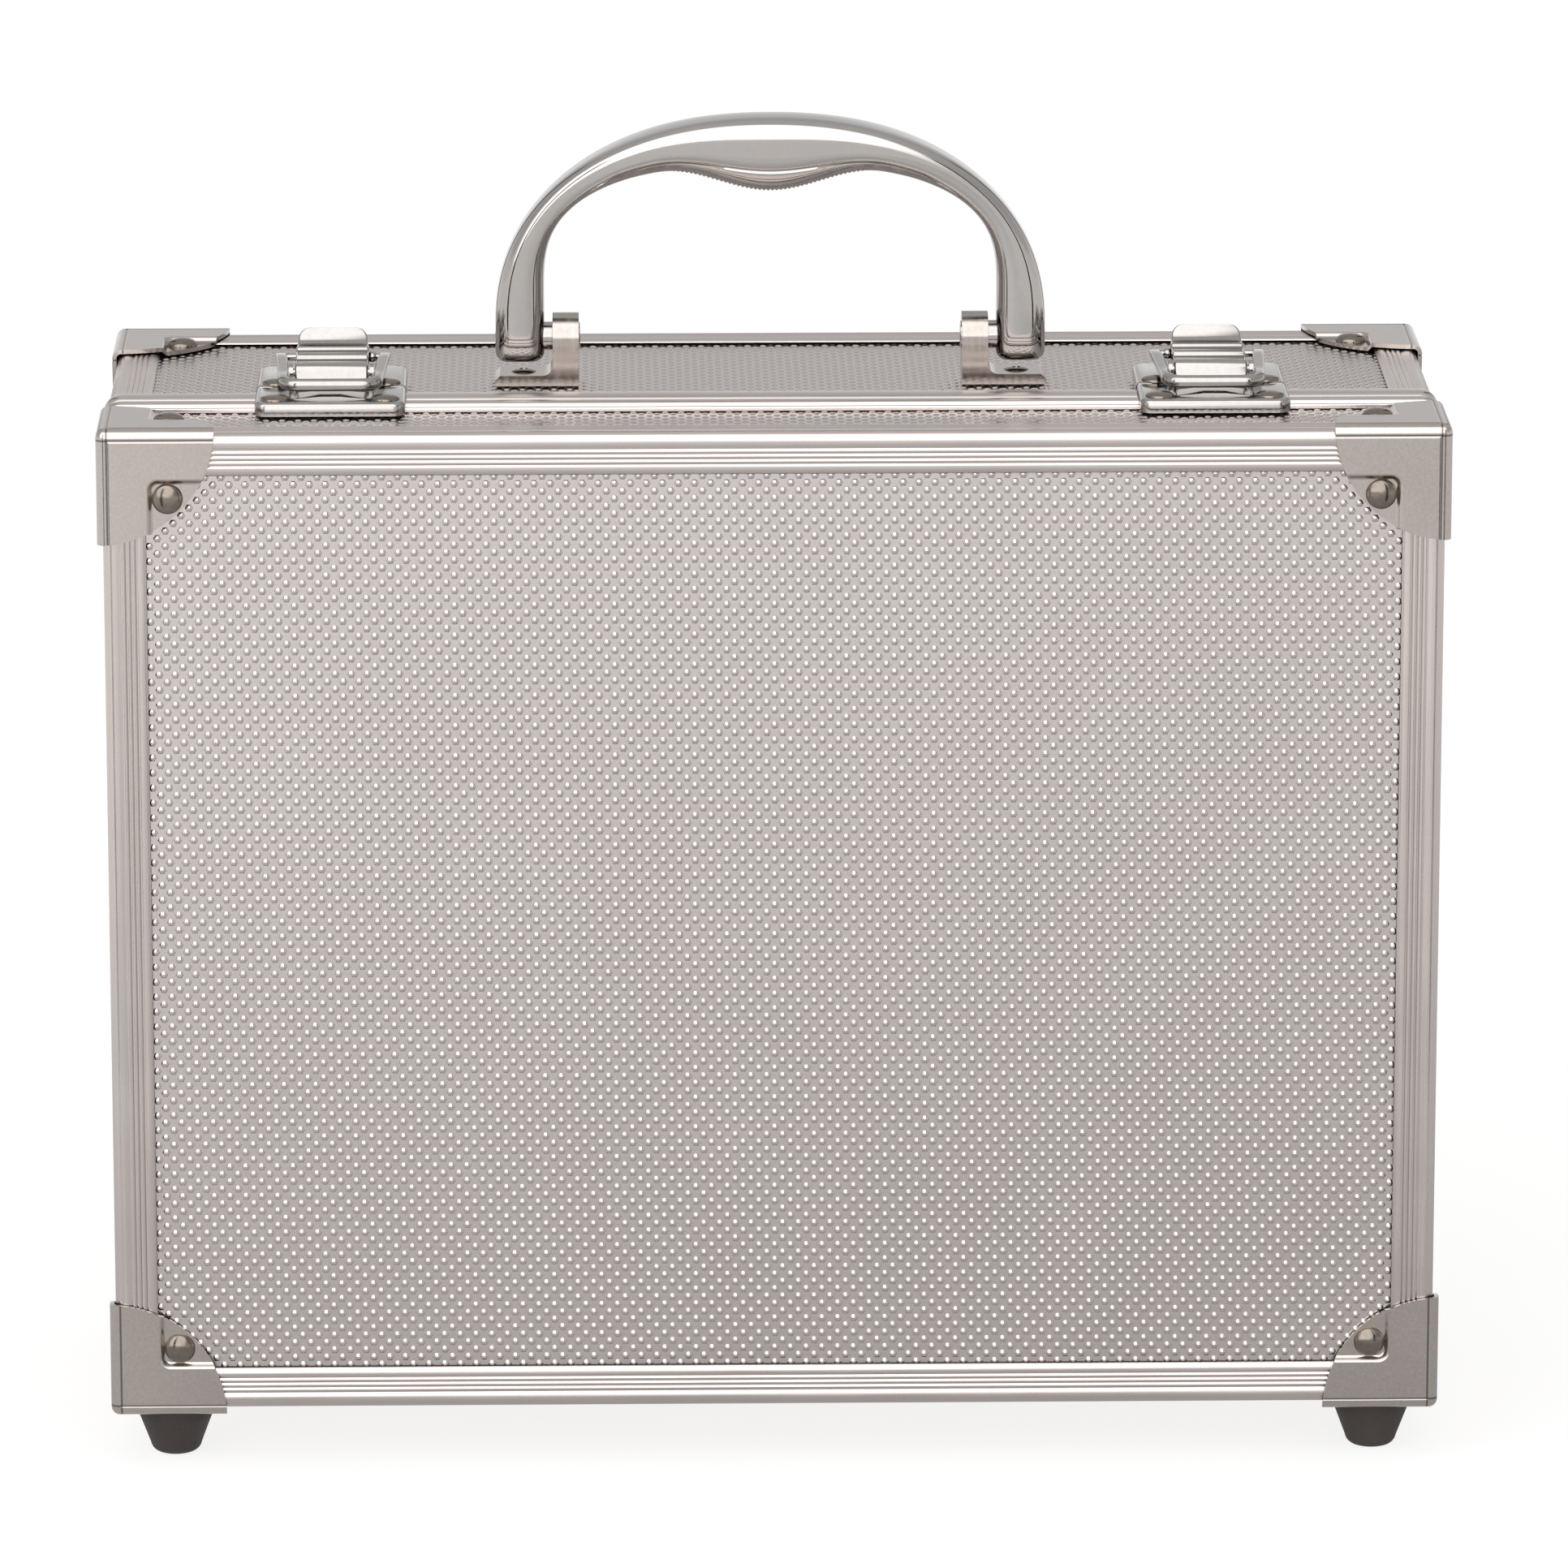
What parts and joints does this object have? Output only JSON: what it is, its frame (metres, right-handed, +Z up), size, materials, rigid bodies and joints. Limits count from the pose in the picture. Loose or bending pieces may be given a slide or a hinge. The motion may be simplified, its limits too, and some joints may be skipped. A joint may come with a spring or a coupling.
{
  "type": "hard-sided carrying case",
  "caption": "Aluminium-framed hard case with dimpled panels, metal corner protectors, a hinged front lid with draw latches, a folding arched handle and rubber feet.",
  "frame": {"origin": "on the ground at the centre of the bounding box, case standing on its four feet", "axes": "+X to the right, +Y from the lid towards the back of the base, +Z up towards the handle"},
  "size_m": [0.2824, 0.1064, 0.2819],
  "materials": {
    "frame_aluminium": "satin anodised, ribbed along its length",
    "panel_sheet": "satin sheet embossed with raised round dimples",
    "protector_steel": "bright nickel plate, slightly brushed",
    "handle_chrome": "mirror chrome plate",
    "bracket_nickel": "nickel plate over a die casting",
    "latch_steel": "bright nickel plate",
    "hinge_steel": "zinc plated",
    "foot_rubber": "matt black moulded rubber",
    "lining_fabric": "short dark felt"
  },
  "bodies": {
    "base": {"base_back_panel": "panel_sheet", "base_left_panel": "panel_sheet", "base_right_panel": "panel_sheet", "base_top_panel": "panel_sheet", "base_bottom_panel": "panel_sheet", "base_lining": "lining_fabric", "base_top_rail": "frame_aluminium", "base_bottom_rail": "frame_aluminium", "base_left_rail": "frame_aluminium", "base_right_rail": "frame_aluminium", "base_closure_rail": "frame_aluminium", "base_top_left_post": "frame_aluminium", "base_top_right_post": "frame_aluminium", "base_bottom_left_post": "frame_aluminium", "base_bottom_right_post": "frame_aluminium", "base_protector_top_left": "protector_steel", "base_protector_top_right": "protector_steel", "base_protector_bottom_left": "protector_steel", "base_protector_bottom_right": "protector_steel", "base_foot_left": "foot_rubber", "base_foot_right": "foot_rubber", "base_hinge_leaf": "hinge_steel", "hinge_pin": "hinge_steel", "handle_bracket_left": "bracket_nickel", "handle_pin_left": "bracket_nickel", "latch_plate_left": "latch_steel", "latch_pin_left": "latch_steel", "handle_bracket_right": "bracket_nickel", "handle_pin_right": "bracket_nickel", "latch_plate_right": "latch_steel", "latch_pin_right": "latch_steel"},
    "lid": {"lid_bottom_left_post": "frame_aluminium", "lid_bottom_panel": "panel_sheet", "lid_bottom_rail": "frame_aluminium", "lid_bottom_right_post": "frame_aluminium", "lid_closure_rail": "frame_aluminium", "lid_foot_left": "foot_rubber", "lid_foot_right": "foot_rubber", "lid_front_panel": "panel_sheet", "lid_hinge_leaf": "hinge_steel", "lid_left_panel": "panel_sheet", "lid_left_rail": "frame_aluminium", "lid_lining": "lining_fabric", "lid_protector_bottom_left": "protector_steel", "lid_protector_bottom_right": "protector_steel", "lid_protector_top_left": "protector_steel", "lid_protector_top_right": "protector_steel", "lid_right_panel": "panel_sheet", "lid_right_rail": "frame_aluminium", "lid_top_left_post": "frame_aluminium", "lid_top_panel": "panel_sheet", "lid_top_rail": "frame_aluminium", "lid_top_right_post": "frame_aluminium", "latch_catch_left": "latch_steel", "latch_catch_right": "latch_steel"},
    "handle": {"handle": "handle_chrome"},
    "lever_left": {"latch_lever_left": "latch_steel"},
    "bail_left": {"latch_bail_left": "latch_steel"},
    "lever_right": {"latch_lever_right": "latch_steel"},
    "bail_right": {"latch_bail_right": "latch_steel"}
  },
  "joints": [
    {"name": "lid_hinge", "type": "hinge", "parent": "base", "child": "lid", "pos_m": [0, -0.021, 0.0093], "axis": [1, 0, 0], "range_deg": [0, 110]},
    {"name": "handle_hinge", "type": "hinge", "parent": "base", "child": "handle", "pos_m": [0, 0.003, 0.2343], "axis": [1, 0, 0], "range_deg": [-90, 90]},
    {"name": "latch_lever_left", "type": "hinge", "parent": "base", "child": "lever_left", "pos_m": [-0.093, -0.012, 0.2297], "axis": [1, 0, 0], "range_deg": [0, 115]},
    {"name": "latch_bail_left", "type": "hinge", "parent": "lever_left", "child": "bail_left", "pos_m": [-0.093, 0.002, 0.2301], "axis": [1, 0, 0], "range_deg": [-127, 0]},
    {"name": "latch_lever_right", "type": "hinge", "parent": "base", "child": "lever_right", "pos_m": [0.093, -0.012, 0.2297], "axis": [1, 0, 0], "range_deg": [0, 115]},
    {"name": "latch_bail_right", "type": "hinge", "parent": "lever_right", "child": "bail_right", "pos_m": [0.093, 0.002, 0.2301], "axis": [1, 0, 0], "range_deg": [-127, 0]}
  ],
  "couplings": [
    {"joint": "latch_bail_left", "follows": "latch_lever_left", "ratio": -1.1},
    {"joint": "latch_bail_right", "follows": "latch_lever_right", "ratio": -1.1}
  ]
}
